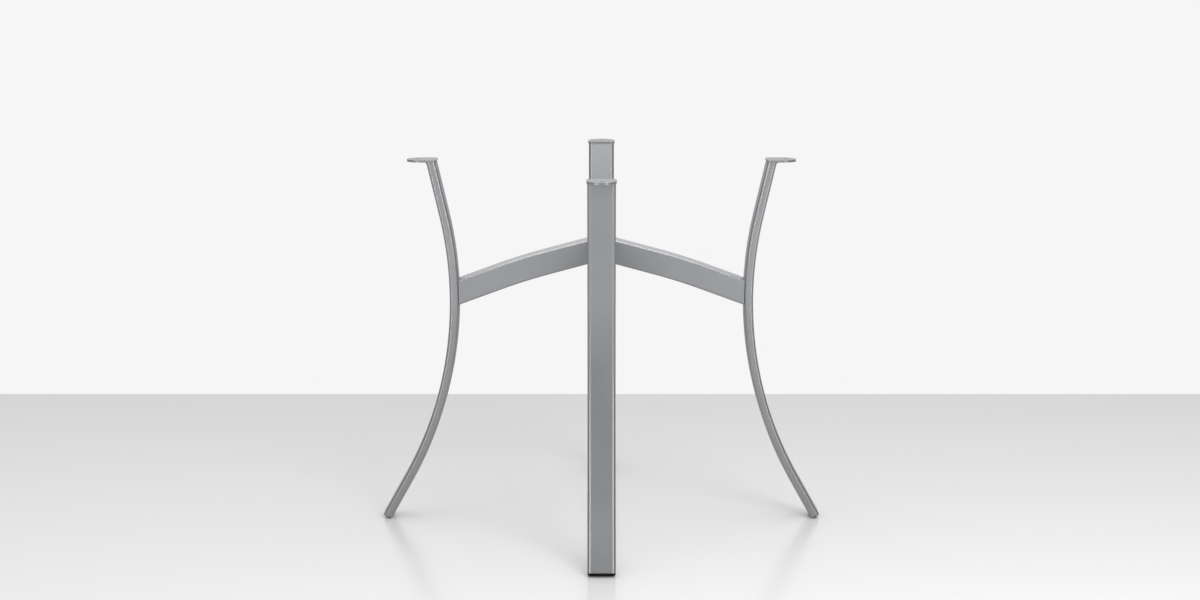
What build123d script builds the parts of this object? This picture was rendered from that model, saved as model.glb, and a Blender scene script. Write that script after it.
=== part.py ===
from build123d import *
from math import cos, degrees, radians, sin, sqrt
import os

# Dining table base: four bowed legs of flat rounded tube stand on a cross of four
# arched arms. A tongue-shaped plate on each leg carries the table top, and a
# plastic plug closes each foot. Millimetres, +Z up, the floor is z = 0 and the
# middle of the cross is on the Z axis.

# The whole base
base_height = 698.5

# Leg tube, across and through its flat section
leg_width = 50.8
leg_depth = 17.5
leg_corner = 6.5
leg_wall = 2.5

# Leg line, from its top down to the floor
leg_top_radius = 323.0
leg_top_lean = 13.0
leg_top_straight = 104.0
leg_bend_radius = 721.0
leg_foot_lean = 29.2

# Plate on top of each leg
pad_thickness = 4.0
pad_overhang = 1.4
pad_tip_radius = 369.5
screw_circle = 700.0
screw_hole = 7.0

# Plug in each foot
plug_head = 0.8
plug_head_inset = 0.4
plug_floor_flat = 0.3
plug_length = 26.0
plug_play = 0.8
plug_wall = 2.0
plug_ribs = 3
plug_rib = 1.6

# Square arm tube, and its line from the middle of the cross out to the leg
arm_side = 45.0
arm_corner = 3.5
arm_wall = 2.5
arm_middle_height = 529.6
arm_middle_slope = 15.1
arm_middle_straight = 109.0
arm_bend_radius = 1100.0
arm_leg_slope = 20.2

# Weld bead under each plate
pad_weld_leg = 6.0

# The four directions of the cross, as turns about the Z axis from +X
directions = {"right": 0, "back": 90, "left": 180, "front": 270}


def along(lean):
    """Unit step down a line that leans outward by this angle from straight down."""
    return Vector(sin(radians(lean)), 0, -cos(radians(lean)))


def outward(lean):
    """Unit step square to such a line, away from the middle of the base."""
    return Vector(cos(radians(lean)), 0, sin(radians(lean)))


# Points of the leg's centre line in the XZ plane
pad_underside = base_height - pad_thickness
leg_top = Vector(leg_top_radius, 0, pad_underside)
bend_start = leg_top + along(-leg_top_lean) * leg_top_straight
bend_centre = bend_start + outward(-leg_top_lean) * leg_bend_radius
bend_waist = bend_centre - outward(0) * leg_bend_radius
bend_end = bend_centre - outward(leg_foot_lean) * leg_bend_radius

# The lower edge of the plug's head, less a narrow flat, is what meets the floor
head_drop = plug_head * cos(radians(leg_foot_lean))
edge_drop = (leg_depth / 2 - plug_head_inset) * sin(radians(leg_foot_lean))
foot_height = head_drop + edge_drop - plug_floor_flat
foot_straight = (bend_end.Z - foot_height) / cos(radians(leg_foot_lean))
foot_end = bend_end + along(leg_foot_lean) * foot_straight

# Half of the leg's depth as its level top cuts it, and the plate's plan
top_half_depth = leg_depth / 2 / cos(radians(leg_top_lean))
pad_width = leg_width + 2 * pad_overhang
pad_inner_radius = leg_top_radius - top_half_depth - pad_overhang
pad_tip_centre = pad_tip_radius - pad_width / 2

# Points of the arm's centre line, from the middle to where it meets the leg's inner face
arm_middle = Vector(0, 0, arm_middle_height)
arm_bend_start = arm_middle + along(90 - arm_middle_slope) * arm_middle_straight
arm_bend_centre = arm_bend_start - outward(90 - arm_middle_slope) * arm_bend_radius
arm_bend_mid_lean = 90 - (arm_middle_slope + arm_leg_slope) / 2
arm_bend_mid = arm_bend_centre + outward(arm_bend_mid_lean) * arm_bend_radius
arm_bend_end = arm_bend_centre + outward(90 - arm_leg_slope) * arm_bend_radius
arm_heading = along(90 - arm_leg_slope)
leg_face_radius = leg_bend_radius + leg_depth / 2
to_bend_centre = bend_centre - arm_bend_end
closest = to_bend_centre.dot(arm_heading)
past_face = sqrt(closest**2 - to_bend_centre.length**2 + leg_face_radius**2)
arm_foot = arm_bend_end + arm_heading * (closest - past_face)


def follow(section, stretches):
    """Bar of this section that runs along straight and round stretches in turn."""
    bar = Part()
    for stretch in stretches:
        start = Plane(origin=stretch @ 0, x_dir=(0, 1, 0), z_dir=stretch % 0)
        if stretch.geom_type == GeomType.LINE:
            bar += extrude(start * section, stretch.length)
        else:
            centre = stretch.arc_center
            hinge = Axis(centre, (stretch @ 0 - centre).cross(stretch % 0))
            bar += revolve(start * section, hinge, degrees(stretch.length / stretch.radius))
    return bar


def tube_section(width, depth, corner, wall):
    """Wall of a tube with rounded outer corners and a square-cornered bore."""
    outside = RectangleRounded(width, depth, corner)
    return outside - Rectangle(width - 2 * wall, depth - 2 * wall)


def leg_bar(section):
    """Bar along the leg's line: straight, one long bend and straight, level on top."""
    above_top = leg_top - along(-leg_top_lean) * leg_depth
    upper = Line(above_top, bend_start)
    bend = ThreePointArc(bend_start, bend_waist, bend_end)
    lower = Line(bend_end, foot_end)
    bar = follow(section, [upper, bend, lower])
    return split(bar, Plane.XY.offset(pad_underside), keep=Keep.BOTTOM)


def make_leg():
    """Bowed leg of flat rounded tube, open at both ends."""
    return leg_bar(tube_section(leg_width, leg_depth, leg_corner, leg_wall))


def make_pad():
    """Tongue-shaped plate that closes the leg's top and takes one screw."""
    length = pad_tip_centre - pad_inner_radius
    body = Pos(pad_inner_radius + length / 2, 0) * Rectangle(length, pad_width)
    plan = body + Pos(pad_tip_centre, 0) * Circle(pad_width / 2)
    inner_corners = plan.vertices().group_by(Axis.X)[0]
    plan = fillet(inner_corners, leg_corner + pad_overhang)
    plate = Pos(0, 0, pad_underside) * extrude(plan, pad_thickness)
    hole_place = Pos(screw_circle / 2, 0, pad_underside + pad_thickness / 2)
    return plate - hole_place * Cylinder(screw_hole / 2, 2 * pad_thickness)


def make_pad_weld():
    """Hollow-faced bead between the plate's underside and the leg's outer face."""
    corner = leg_top + Vector(top_half_depth, 0, 0)
    plate_end = corner + Vector(pad_weld_leg, 0, 0)
    leg_end = corner + along(-leg_top_lean) * pad_weld_leg
    face = TangentArc(plate_end, leg_end, tangent=(-1, 0, 0))
    profile = make_face([Line(corner, plate_end), face, Line(leg_end, corner)])
    return extrude(profile, (leg_width - 2 * leg_corner) / 2, dir=(0, 1, 0), both=True)


def make_plug():
    """Foot plug: thin head under the tube's end and a ribbed hollow stem in it."""
    head_width = leg_width - 2 * plug_head_inset
    head_depth = leg_depth - 2 * plug_head_inset
    head_plan = RectangleRounded(head_width, head_depth, leg_corner - plug_head_inset)
    head = extrude(head_plan, plug_head)

    bore_width = leg_width - 2 * leg_wall
    bore_depth = leg_depth - 2 * leg_wall
    stem = extrude(Rectangle(bore_width - 2 * plug_play, bore_depth - 2 * plug_play), -plug_length)
    rib_pitch = plug_length / (plug_ribs + 1)
    for rib in range(plug_ribs):
        rib_top = Pos(0, 0, -rib_pitch * (rib + 1))
        stem += rib_top * extrude(Rectangle(bore_width, bore_depth), plug_rib)
    hollow_inset = plug_play + plug_wall
    hollow = Rectangle(bore_width - 2 * hollow_inset, bore_depth - 2 * hollow_inset)
    stem -= Pos(0, 0, -plug_length) * extrude(hollow, plug_length - plug_wall)

    foot = Plane(origin=foot_end, x_dir=(0, 1, 0), z_dir=along(leg_foot_lean))
    return split(foot * (head + stem), Plane.XY, keep=Keep.TOP)


def make_arm():
    """Arched arm of square tube, mitred at the middle and coped to the leg's inner face."""
    before_middle = arm_middle - along(90 - arm_middle_slope) * arm_side
    inside_leg = arm_foot + arm_heading * arm_side
    inner = Line(before_middle, arm_bend_start)
    bend = ThreePointArc(arm_bend_start, arm_bend_mid, arm_bend_end)
    outer = Line(arm_bend_end, inside_leg)
    section = tube_section(arm_side, arm_side, arm_corner, arm_wall)
    tube = follow(section, [inner, bend, outer])
    reach = 2 * leg_top_radius
    quarter = make_face(Polyline((0, 0), (reach, -reach), (reach, reach), close=True))
    leg_face = Cylinder(leg_face_radius, leg_width, rotation=(90, 0, 0))
    return (tube & extrude(quarter, base_height)) - Pos(bend_centre) * leg_face


makers = {
    "leg": make_leg,
    "pad": make_pad,
    "pad_weld": make_pad_weld,
    "foot_plug": make_plug,
    "arm": make_arm,
}

os.makedirs("parts", exist_ok=True)
for piece, make in makers.items():
    shape = make()
    for side, turn in directions.items():
        export_step(Rot(0, 0, turn) * shape, f"parts/{piece}_{side}.step")
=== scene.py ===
from math import cos, pi, radians, sin

import bpy
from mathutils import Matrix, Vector

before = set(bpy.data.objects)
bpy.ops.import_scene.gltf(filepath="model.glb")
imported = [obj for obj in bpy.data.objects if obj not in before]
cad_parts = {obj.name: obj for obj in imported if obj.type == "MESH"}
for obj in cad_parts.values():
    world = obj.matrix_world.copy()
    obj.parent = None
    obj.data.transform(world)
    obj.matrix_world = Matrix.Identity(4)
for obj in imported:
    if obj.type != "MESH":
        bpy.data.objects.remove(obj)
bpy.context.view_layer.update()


# Legs: four bowed lengths of flat rounded aluminium tube, cut square at the foot and
# level at the top. The whole welded frame then gets a satin grey powder coat, sprayed
# on and baked, which lies as a fine even skin with a slight orange peel.
sides = ("right", "back", "left", "front")
coat_dark = (0.266, 0.271, 0.281, 1)
coat_light = (0.284, 0.289, 0.300, 1)
coat_metallic = 0.6
coat_gloss = 0.5
coat_smoothest = 0.28
coat_roughest = 0.34
cloud_scale = 9.0
cloud_detail = 4.0
cloud_dark_end = 0.35
cloud_light_start = 0.65
peel_scale = 900.0
peel_detail = 2.0
peel_strength = 0.08
peel_depth = 0.0002


def start_finish(name):
    """New finish: the material, its nodes, its links and its shader."""
    finish = bpy.data.materials.new(name)
    finish.use_nodes = True
    tree = finish.node_tree
    return finish, tree.nodes, tree.links, tree.nodes["Principled BSDF"]


def set_sockets(node, **values):
    """Set a node's own sockets. Each space in a socket's name is written as _ here."""
    for socket, value in values.items():
        node.inputs[socket.replace("_", " ")].default_value = value
    return node


def add_node(nodes, kind, **values):
    """Node of this kind with its own sockets set to the given values."""
    return set_sockets(nodes.new(kind), **values)


def add_ramp(nodes, *stops):
    """Colour ramp through these stops, each a position and a colour."""
    ramp = nodes.new("ShaderNodeValToRGB")
    first, *between, last = stops
    for element, (position, colour) in zip(ramp.color_ramp.elements, (first, last)):
        element.position = position
        element.color = colour
    for position, colour in between:
        ramp.color_ramp.elements.new(position).color = colour
    return ramp


def give_finish(piece, finish):
    """Put one finish on all four copies of a piece."""
    for side in sides:
        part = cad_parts[f"{piece}_{side}"]
        part.data.materials.clear()
        part.data.materials.append(finish)


powder_coat, nodes, links, shader = start_finish("satin_powder_coat")
set_sockets(shader, Metallic=coat_metallic, Specular_IOR_Level=coat_gloss)
place = nodes.new("ShaderNodeTexCoord")
clouds = add_node(nodes, "ShaderNodeTexNoise", Scale=cloud_scale, Detail=cloud_detail)
tones = add_ramp(nodes, (cloud_dark_end, coat_dark), (cloud_light_start, coat_light))
sheen = add_node(nodes, "ShaderNodeMapRange", To_Min=coat_smoothest, To_Max=coat_roughest)
peel = add_node(nodes, "ShaderNodeTexNoise", Scale=peel_scale, Detail=peel_detail)
skin = add_node(nodes, "ShaderNodeBump", Strength=peel_strength, Distance=peel_depth)
links.new(place.outputs["Object"], clouds.inputs["Vector"])
links.new(clouds.outputs["Fac"], tones.inputs["Fac"])
links.new(tones.outputs["Color"], shader.inputs["Base Color"])
links.new(clouds.outputs["Fac"], sheen.inputs["Value"])
links.new(sheen.outputs["Result"], shader.inputs["Roughness"])
links.new(place.outputs["Object"], peel.inputs["Vector"])
links.new(peel.outputs["Fac"], skin.inputs["Height"])
links.new(skin.outputs["Normal"], shader.inputs["Normal"])

give_finish("leg", powder_coat)


# Arms: four arched lengths of square aluminium tube, mitred together in the middle of
# the base and welded to the inner faces of the legs. The welds are ground flush before
# the frame is coated.
give_finish("arm", powder_coat)


# Plates: a tongue of flat aluminium on top of each leg, with one clear hole near its
# round tip for a screw up into the table top. It is welded on level and coated with
# the frame.
give_finish("pad", powder_coat)


# Weld beads: a hollow-faced bead of aluminium filler under each plate, in the corner
# between the plate and the outer face of the leg. The coat covers it too.
give_finish("pad_weld", powder_coat)


# Foot plugs: black polyethylene mouldings with a thin head and a ribbed stem. Each one
# is pressed into the open end of a leg after coating, and its head meets the floor.
plastic_dark = (0.002, 0.002, 0.002, 1)
plastic_light = (0.005, 0.005, 0.006, 1)
plastic_roughness = 0.5
plastic_gloss = 0.2
grain_scale = 600.0
grain_strength = 0.3
grain_depth = 0.0002

black_plastic, nodes, links, shader = start_finish("black_polyethylene")
set_sockets(shader, Roughness=plastic_roughness, Specular_IOR_Level=plastic_gloss)
place = nodes.new("ShaderNodeTexCoord")
grain = add_node(nodes, "ShaderNodeTexNoise", Scale=grain_scale)
tones = add_ramp(nodes, (0, plastic_dark), (1, plastic_light))
skin = add_node(nodes, "ShaderNodeBump", Strength=grain_strength, Distance=grain_depth)
links.new(place.outputs["Object"], grain.inputs["Vector"])
links.new(grain.outputs["Fac"], tones.inputs["Fac"])
links.new(tones.outputs["Color"], shader.inputs["Base Color"])
links.new(grain.outputs["Fac"], skin.inputs["Height"])
links.new(skin.outputs["Normal"], shader.inputs["Normal"])

give_finish("foot_plug", black_plastic)


# Studio floor: a smooth pale table of satin acrylic that ends in a straight edge
# behind the base. Its colour is painted from light in front to darker at that back edge,
# a painted shade for the light falling off away from the lamps in front. Past it there
# is only the pale paper of the studio, which the world stands for.
floor_back = 1.113
floor_front = -7.0
floor_half_width = 6.0
floor_shade_start = -0.6
# Painted light and shade: the floor's colour runs from this light tone in front to this
# darker one at the back edge, for the light falling off.
floor_painted_light_front = 0.88
floor_painted_shade_back = 0.65
acrylic_roughness = 0.22
acrylic_gloss = 0.7


def grey(level):
    """Neutral colour of this level."""
    return (level, level, level, 1)


floor_mesh = bpy.data.meshes.new("floor")
floor_corners = [
    (-floor_half_width, floor_front, 0),
    (floor_half_width, floor_front, 0),
    (floor_half_width, floor_back, 0),
    (-floor_half_width, floor_back, 0),
]
floor_mesh.from_pydata(floor_corners, [], [(0, 1, 2, 3)])
floor = bpy.data.objects.new("floor", floor_mesh)
bpy.context.collection.objects.link(floor)

acrylic, nodes, links, shader = start_finish("floor_acrylic")
set_sockets(shader, Roughness=acrylic_roughness, Specular_IOR_Level=acrylic_gloss)
place = nodes.new("ShaderNodeTexCoord")
depth = nodes.new("ShaderNodeSeparateXYZ")
# Painted shade: the floor's colour darkens from the front towards its back edge, in place of
# the light falling off there.
floor_shading = add_node(nodes, "ShaderNodeMapRange", From_Min=floor_shade_start, From_Max=floor_back)
tones = add_ramp(nodes, (0, grey(floor_painted_light_front)), (1, grey(floor_painted_shade_back)))
links.new(place.outputs["Object"], depth.inputs["Vector"])
links.new(depth.outputs["Y"], floor_shading.inputs["Value"])
links.new(floor_shading.outputs["Result"], tones.inputs["Fac"])
links.new(tones.outputs["Color"], shader.inputs["Base Color"])
floor_mesh.materials.append(acrylic)


# Studio room: white paper behind and an even pale light from all round. What the base
# mirrors is a room that goes from a dim front past dark sides to the white paper, and
# below the horizon from a dim floor to a lighter one far behind.
paper = 0.921
even_light = 0.78
room_front = 0.34
room_side = 0.15
room_below = 0.33
room_far_below = 0.55

# A direction's Y is -1 straight to the front and 1 straight to the back. These tones
# start and end at shares of that way, and its Z is above or below the horizon.
straight_front = -1.0
horizon = 0.0
front_end = 0.12
side_start = 0.28
side_end = 0.84
back_start = 0.92
far_below_start = 0.98

world = bpy.data.worlds.new("studio")
bpy.context.scene.world = world
world.use_nodes = True
nodes = world.node_tree.nodes
links = world.node_tree.links


def add_mix(nodes, links, factor):
    """Mix of two colours by a factor, where 0 gives A and 1 gives B."""
    mix = nodes.new("ShaderNodeMix")
    mix.data_type = "RGBA"
    links.new(factor, mix.inputs["Factor"])
    return mix


direction = nodes.new("ShaderNodeTexCoord")
axes = nodes.new("ShaderNodeSeparateXYZ")
across = add_node(nodes, "ShaderNodeMapRange", From_Min=straight_front)
above = nodes.new("ShaderNodeMath")
above.operation = "GREATER_THAN"
above.inputs[1].default_value = horizon
room = add_ramp(
    nodes,
    (front_end, grey(room_front)),
    (side_start, grey(room_side)),
    (side_end, grey(room_side)),
    (back_start, grey(paper)),
)
below = add_ramp(nodes, (side_end, grey(room_below)), (far_below_start, grey(room_far_below)))
ray = nodes.new("ShaderNodeLightPath")
mirrored = add_mix(nodes, links, above.outputs["Value"])
lighting = add_mix(nodes, links, ray.outputs["Is Diffuse Ray"])
lighting.inputs["B"].default_value = grey(even_light)
seen = add_mix(nodes, links, ray.outputs["Is Camera Ray"])
seen.inputs["B"].default_value = grey(paper)
links.new(direction.outputs["Generated"], axes.inputs["Vector"])
links.new(axes.outputs["Y"], across.inputs["Value"])
links.new(axes.outputs["Z"], above.inputs[0])
links.new(across.outputs["Result"], room.inputs["Fac"])
links.new(across.outputs["Result"], below.inputs["Fac"])
links.new(below.outputs["Color"], mirrored.inputs["A"])
links.new(room.outputs["Color"], mirrored.inputs["B"])
links.new(mirrored.outputs["Result"], lighting.inputs["A"])
links.new(lighting.outputs["Result"], seen.inputs["A"])
links.new(seen.outputs["Result"], nodes["Background"].inputs["Color"])
nodes["Background"].inputs["Strength"].default_value = 1.0


# Studio lamps: soft panels on stands over the base and in front of it, none of them in
# the picture. Each lights only what it is set up for: the floor, the base, the two side
# arms or one side leg. So the base has its light lines and the floor has no glare.
lamp_ceiling = 3.0
lamp_ceiling_back = 0.2
arm_reach = 0.28
arm_height = 0.43
leg_reach = 0.33
leg_upper_height = 0.6
strip_turn = radians(35)
strip_distance = 2.4
strip_height = 1.25

lit_floor = bpy.data.collections.new("lit_floor")
lit_floor.objects.link(floor)
lit_base = bpy.data.collections.new("lit_base")
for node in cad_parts.values():
    lit_base.objects.link(node)
lit_arms = bpy.data.collections.new("lit_arms")
lit_leg = {}
for side in ("left", "right"):
    lit_arms.objects.link(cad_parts[f"arm_{side}"])
    lit_leg[side] = bpy.data.collections.new(f"lit_{side}_leg")
    lit_leg[side].objects.link(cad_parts[f"leg_{side}"])


def add_lamp(name, lit, place, target, size, watts):
    """Soft panel of this width and height that faces a target and lights one group."""
    data = bpy.data.lights.new(name, "AREA")
    data.shape = "RECTANGLE"
    data.size, data.size_y = size
    data.energy = watts
    lamp = bpy.data.objects.new(name, data)
    lamp.location = place
    lamp.rotation_euler = (Vector(target) - Vector(place)).to_track_quat("-Z", "Y").to_euler()
    lamp.visible_camera = False
    lamp.visible_glossy = lit != lit_floor
    lamp.light_linking.receiver_collection = lit
    bpy.context.collection.objects.link(lamp)


# High over the floor
add_lamp(
    "floor_lamp",
    lit_floor,
    place=(0, lamp_ceiling_back, lamp_ceiling),
    target=(0, 0, 0),
    size=(2.4, 2.4),
    watts=9,
)
# In front on the right, for the front foot's soft shadow towards the back left
add_lamp(
    "shadow_lamp",
    lit_floor,
    place=(1.0, -2.0, 2.0),
    target=(0, -0.3, 0),
    size=(1.1, 1.1),
    watts=22,
)
# High over the base
add_lamp(
    "overhead_lamp",
    lit_base,
    place=(0, lamp_ceiling_back, lamp_ceiling),
    target=(0, lamp_ceiling_back, 0),
    size=(3.2, 1.2),
    watts=38,
)
# Close over the side arms, for the light line along their upper edge
add_lamp(
    "edge_lamp",
    lit_arms,
    place=(0, -0.08, 1.1),
    target=(0, -0.02, 0.5),
    size=(1.4, 0.2),
    watts=5.0,
)
# High in front and aimed at the back leg, whose inner face is the lightest
add_lamp(
    "sheen_lamp",
    lit_base,
    place=(0, -1.0, 1.25),
    target=(0, leg_reach, leg_upper_height),
    size=(0.6, 0.3),
    watts=1.55,
)

for side, sign in (("left", -1), ("right", 1)):
    # Tall strip, for the light line down each rounded corner of the legs
    strip_aside = sign * strip_distance * sin(strip_turn)
    strip_forward = strip_distance * cos(strip_turn)
    add_lamp(
        f"{side}_strip_lamp",
        lit_base,
        place=(strip_aside, -strip_forward, strip_height),
        target=(0, 0, 0.4),
        size=(0.8, 1.7),
        watts=17,
    )
    # Inner and outer panel, for the two light lines down the side leg's narrow side
    leg_flank = (sign * leg_reach, 0, leg_upper_height)
    add_lamp(
        f"{side}_inner_lamp",
        lit_leg[side],
        place=(sign * -0.75, -0.95, leg_upper_height),
        target=leg_flank,
        size=(0.6, 0.5),
        watts=2.3,
    )
    add_lamp(
        f"{side}_outer_lamp",
        lit_leg[side],
        place=(sign * 1.1, -0.92, 0.27),
        target=leg_flank,
        size=(0.22, 0.3),
        watts=1.1,
    )
    # Low panel straight in front of the side arm, which lifts its front face
    add_lamp(
        f"{side}_low_lamp",
        lit_base,
        place=(sign * arm_reach, -0.7, arm_height),
        target=(sign * arm_reach, 0, arm_height),
        size=(0.32, 0.36),
        watts=0.24,
    )


# Camera: a long lens a little over a metre up, looking slightly down on the base from
# the front. Its lens, place and tilt were fitted to the outlines of the four legs.
photo_width = 1200
focal_pixels = 2322.0
sensor_width = 36.0
camera_distance = 4.391
camera_height = 1.196
camera_pitch = 0.1735
camera_aside = -0.0028

camera_data = bpy.data.cameras.new("camera")
camera_data.sensor_width = sensor_width
camera_data.lens = focal_pixels / photo_width * sensor_width
camera = bpy.data.objects.new("camera", camera_data)
camera.location = (camera_aside, -camera_distance, camera_height)
camera.rotation_euler = (pi / 2 - camera_pitch, 0, 0)
bpy.context.collection.objects.link(camera)
bpy.context.scene.camera = camera
bpy.context.scene.view_settings.view_transform = "Standard"
